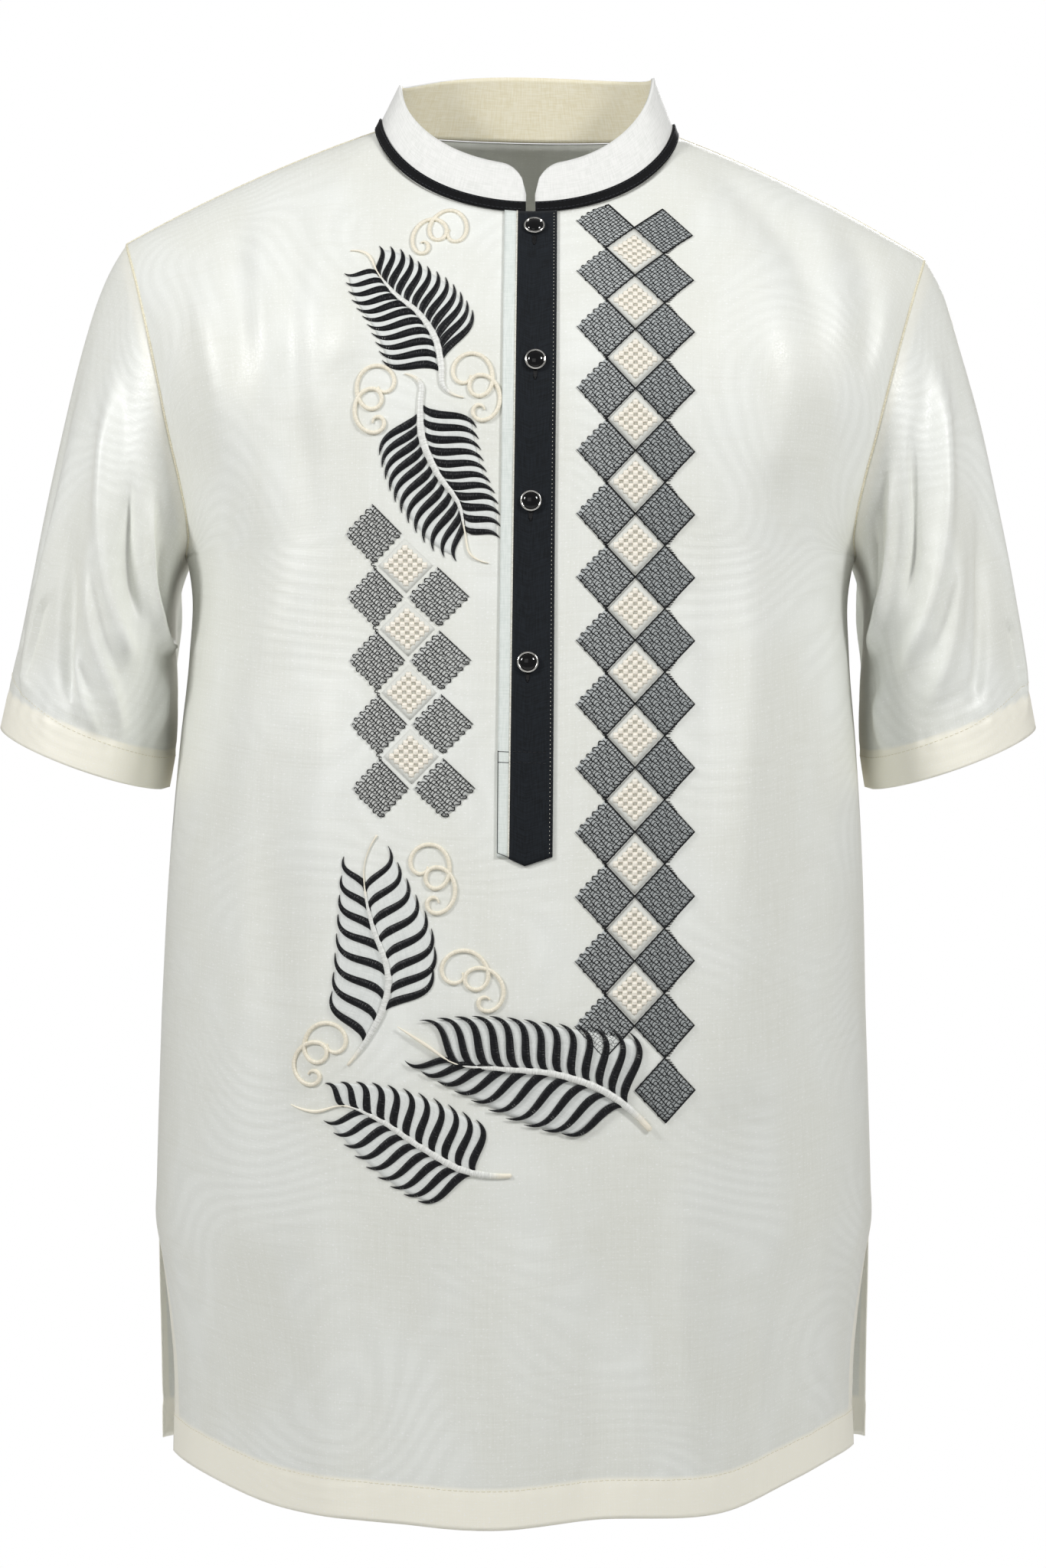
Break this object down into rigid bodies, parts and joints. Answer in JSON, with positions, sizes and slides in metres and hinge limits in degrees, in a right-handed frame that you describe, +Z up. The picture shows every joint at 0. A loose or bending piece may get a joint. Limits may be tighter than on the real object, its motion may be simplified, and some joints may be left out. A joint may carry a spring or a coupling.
{
  "type": "barong tagalog shirt",
  "caption": "Worn short-sleeved barong shirt with a stand collar, black half placket, domed buttons, side vents and embroidered leaves and diamonds down the front.",
  "frame": {"origin": "middle of the neck opening, level with the high shoulder points, where the wearer's shoulders carry the shirt", "axes": "+Z up along the wearer, -Y out of the shirt's front, +X to the wearer's left"},
  "size_m": [0.5938, 0.3112, 0.8221],
  "materials": {
    "front_panel": "silky, finely slubbed off-white organza cloth",
    "back_panel": "silky, finely slubbed off-white organza cloth",
    "sleeve_left": "silky, finely slubbed off-white organza cloth",
    "sleeve_right": "silky, finely slubbed off-white organza cloth",
    "collar_band": "smooth, crisp white cloth",
    "collar_trim": "matt black cloth, edge-stitched",
    "placket": "matt black cloth, edge-stitched",
    "placket_facing": "pale cloth outlined in thread",
    "button_dome_1": "glossy black dome",
    "button_rim_1": "bright silver ring",
    "button_dome_2": "glossy black dome",
    "button_rim_2": "bright silver ring",
    "button_dome_3": "glossy black dome",
    "button_rim_3": "bright silver ring",
    "button_dome_4": "glossy black dome",
    "button_rim_4": "bright silver ring"
  },
  "bodies": {
    "root": {"front_panel": "front_panel", "back_panel": "back_panel", "sleeve_left": "sleeve_left", "sleeve_right": "sleeve_right", "collar_band": "collar_band", "collar_trim": "collar_trim", "placket": "placket", "placket_facing": "placket_facing", "button_dome_1": "button_dome_1", "button_rim_1": "button_rim_1", "button_dome_2": "button_dome_2", "button_rim_2": "button_rim_2", "button_dome_3": "button_dome_3", "button_rim_3": "button_rim_3", "button_dome_4": "button_dome_4", "button_rim_4": "button_rim_4"}
  },
  "joints": []
}
